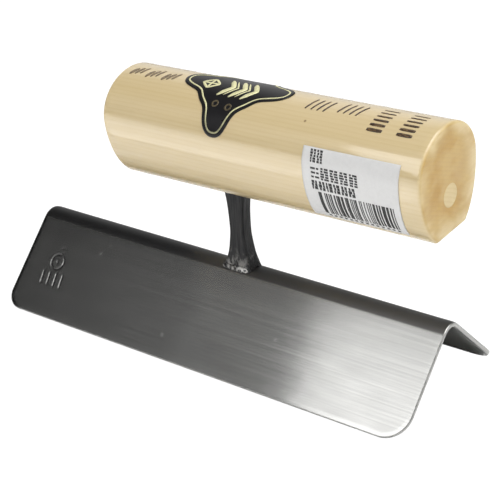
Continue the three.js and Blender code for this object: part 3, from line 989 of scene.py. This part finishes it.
def make_ink(faded, dark):
    """Plain hatching on the top of the handle, standing for hand-stamped words and sizes."""
    left = []
    for u in (-28.6, -22.6, -16.6):
        for k in range(3):
            stop = (u + 1.6 * k + 1.1, -0.4 + 0.6 * k)
            left.append((1.25 - 0.15 * k, (u + 1.6 * k, -4.0 + 0.5 * k), stop))
    right = []
    for u, a in ((34.2, -1.9), (44.0, -1.1)):
        for k in range(4):
            right.append((0.62, (u + 1.9 * k, a - 2.4), (u + 1.9 * k + 1.2, a + 2.9)))
    # two rows of plain bars across the handle, the ink heavier at one end
    rows = []
    for u, first in ((55.4, -7.2), (64.3, -7.0)):
        for k in range(6):
            weight = 1.15 - 0.13 * k
            rows.append((weight, (u, first + 1.85 * k), (u + 4.6, first + 1.85 * k)))
    low, high = 0.02, 0.055
    front_piece = strokes("ink_hatch_front", left, faded, low, high)
    rear_piece = strokes("ink_hatch_rear", right + rows, dark, low, high, taper=0.7)
    return front_piece, rear_piece


# ---------------------------------------------------------------- stage
ROOM_LEVEL = 0.022


def aim(obj, place, target):
    """Put an object at a place, its -Z towards the target."""
    obj.location = place
    look = Vector(target) - Vector(place)
    obj.rotation_euler = look.to_track_quat("-Z", "Y").to_euler()


def toward(azimuth, elevation, distance):
    """A place seen from the object, azimuth from +X towards +Y, in degrees and metres."""
    a, e = math.radians(azimuth), math.radians(elevation)
    level = distance * math.cos(e)
    return (level * math.cos(a), level * math.sin(a), distance * math.sin(e))


def softbox(name, azimuth, elevation, distance, width, height, radiance, shift=(0, 0), turn=0.0):
    """Rectangular area light of a given radiance, its middle shifted and turned in its own plane."""
    light = bpy.data.lights.new(name, "AREA")
    light.shape = "RECTANGLE"
    light.size = width
    light.size_y = height
    light.energy = radiance * width * height * math.pi
    obj = bpy.data.objects.new(name, light)
    bpy.context.scene.collection.objects.link(obj)
    aim(obj, toward(azimuth, elevation, distance), (0, 0, 0.04))
    bpy.context.view_layer.update()
    plane = obj.matrix_world.copy()
    moved = plane @ Matrix.Translation((shift[0], shift[1], 0))
    obj.matrix_world = moved @ Matrix.Rotation(math.radians(turn), 4, "Z")
    obj.visible_camera = False
    return obj


def table_glow():
    """Light thrown up by the white table in front of the tool, brightest close to it."""
    for name, depth, radiance in (("near", 0.13, 0.55), ("middle", 0.24, 0.5), ("far", 0.5, 0.35)):
        glow = softbox("table_glow_" + name, 0, 90, 1.0, 1.3, depth, radiance)
        glow.location = (0.05, -0.07 - depth / 2, 0.001)
        glow.rotation_euler = (math.pi, 0, 0)


def make_floor():
    """White table; straight to the camera it shows over-lit, as a bright studio table does."""
    s = Shader("studio_floor_white")
    place = s.add("ShaderNodeTexCoord").outputs["Object"]
    grain = s.noise(place, scale=60.0, detail=2)
    s.surface(Base_Color=s.mix(grain, (0.86, 0.86, 0.86, 1), (0.9, 0.9, 0.9, 1)), Roughness=0.9)
    lit = s.add("ShaderNodeEmission", {"Color": (1, 1, 1, 1), "Strength": 1.15})
    seen = s.math("MULTIPLY", s.add("ShaderNodeLightPath").outputs["Is Camera Ray"], 0.9)
    mixed = s.add("ShaderNodeMixShader", {0: seen, 1: s.bsdf.outputs[0], 2: lit.outputs[0]})
    s.put(s.tree.nodes["Material Output"], "Surface", mixed.outputs[0])
    place = (0, 0, -0.00005)
    bpy.ops.mesh.primitive_grid_add(x_subdivisions=8, y_subdivisions=8, size=6.0, location=place)
    floor = bpy.context.object
    floor.name = "studio_floor"
    floor.data.materials.append(s.material)


def make_world():
    """Dark studio with a white sweep behind the tool; the camera itself sees plain white."""
    world = bpy.data.worlds.new("studio")
    bpy.context.scene.world = world
    world.use_nodes = True
    tree = world.node_tree
    tree.nodes.clear()

    def add(kind, links=None, **settings):
        node = tree.nodes.new(kind)
        for key, value in settings.items():
            setattr(node, key, value)
        for key, value in (links or {}).items():
            if isinstance(value, bpy.types.NodeSocket):
                tree.links.new(value, node.inputs[key])
            else:
                node.inputs[key].default_value = value
        return node

    way = add("ShaderNodeTexCoord").outputs["Generated"]

    def lobe(azimuth, elevation, inner, outer, strength):
        """A soft round patch of light in a direction, between two angles from its middle."""
        axis = toward(azimuth, elevation, 1.0)
        dot = add("ShaderNodeVectorMath", {0: way, 1: axis}, operation="DOT_PRODUCT").outputs["Value"]
        patch = add("ShaderNodeMapRange", {
            "Value": dot, "To Min": 0.0, "To Max": strength,
            "From Min": math.cos(math.radians(outer)), "From Max": math.cos(math.radians(inner)),
        }, interpolation_type="SMOOTHSTEP")
        return patch.outputs["Result"]

    total = ROOM_LEVEL
    for patch in (lobe(129, 0, 25, 50, 0.85), lobe(245, 39, 10, 30, 0.45)):
        total = add("ShaderNodeMath", {0: patch, 1: total}, operation="ADD").outputs[0]
    room = add("ShaderNodeBackground", {"Color": (0.8, 0.8, 0.8, 1), "Strength": total})
    white = add("ShaderNodeBackground", {"Color": (1, 1, 1, 1), "Strength": 1.05})
    seen = add("ShaderNodeLightPath").outputs["Is Camera Ray"]
    choose = add("ShaderNodeMixShader", {0: seen, 1: room.outputs[0], 2: white.outputs[0]})
    add("ShaderNodeOutputWorld", {0: choose.outputs[0]})


CAMERA_ANGLES = (39.495, 26.92, -4.417)  # azimuth from -Y towards +X, elevation, roll
CAMERA_TARGET = (7.18, 0.0, 29.77)
CAMERA_DISTANCE = 422.74
CAMERA_LENS = 103.61


def make_camera():
    """Camera at the reference viewpoint."""
    az, el, roll = (math.radians(angle) for angle in CAMERA_ANGLES)
    target = Vector(CAMERA_TARGET) * MM
    distance = CAMERA_DISTANCE * MM
    back = Vector((math.sin(az) * math.cos(el), -math.cos(az) * math.cos(el), math.sin(el)))
    level = (-back).cross(Vector((0, 0, 1))).normalized()
    rise = level.cross(-back)
    right = math.cos(roll) * level + math.sin(roll) * rise
    up = math.cos(roll) * rise - math.sin(roll) * level
    data = bpy.data.cameras.new("camera")
    data.lens = CAMERA_LENS
    data.sensor_width = 36.0
    data.clip_start = 0.01
    camera = bpy.data.objects.new("camera", data)
    bpy.context.scene.collection.objects.link(camera)
    turn = Matrix((right, up, back)).transposed().to_4x4()
    camera.matrix_world = Matrix.Translation(target + back * distance) @ turn
    bpy.context.scene.camera = camera


# ---------------------------------------------------------------- assembly
make_camera()
make_world()
make_floor()
softbox("softbox_left", 244, 29, 1.25, 0.80, 0.844, 2.25, shift=(0.236, 0.142), turn=21.2)
softbox("key_overhead", 20, 68, 1.4, 1.3, 1.1, 5.4)
softbox("fill_right", 20, 22, 1.6, 1.0, 0.9, 1.2)
table_glow()
bpy.context.scene.view_settings.view_transform = "Standard"

blade = make_blade(blade_steel(), edge_steel())
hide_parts("blade")

neck = make_neck(forged_steel())
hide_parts("neck")

weld_finish = weld_metal()
for name, side, node in (("weld_near", -1, "weld_bead_near"), ("weld_far", 1, "weld_bead_far")):
    weld = make_weld(name, side, weld_finish, 2.0 + side)
    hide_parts(node)

handle = make_handle(handle_wood())
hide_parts("handle")

plug = make_plug(plug_wood())
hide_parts("end_plug")

gold = gold_ink("crest_gold_ink", (0.80, 0.77, 0.44, 1))
bronze = gold_ink("crest_bronze_ink", (0.13, 0.10, 0.05, 1), 0.3)
crest = make_crest(crest_film(), gold, bronze)
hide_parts("crest_label")

label, label_print = make_price_label(
    label_paper(), printed_ink("price_print_black", (0.006, 0.006, 0.006, 1), (0.03, 0.03, 0.03, 1)))
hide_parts("price_label")

for piece in make_ink(
    printed_ink("ink_grey_brown", (0.10, 0.07, 0.035, 1), (0.28, 0.20, 0.105, 1)),
    printed_ink("ink_dark_brown", (0.025, 0.012, 0.005, 1), (0.22, 0.13, 0.05, 1), 0.42, 0.75),
):
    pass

rod = bpy.data.objects["locking_rod"]
rod.data.materials.clear()
rod.data.materials.append(rod_steel())
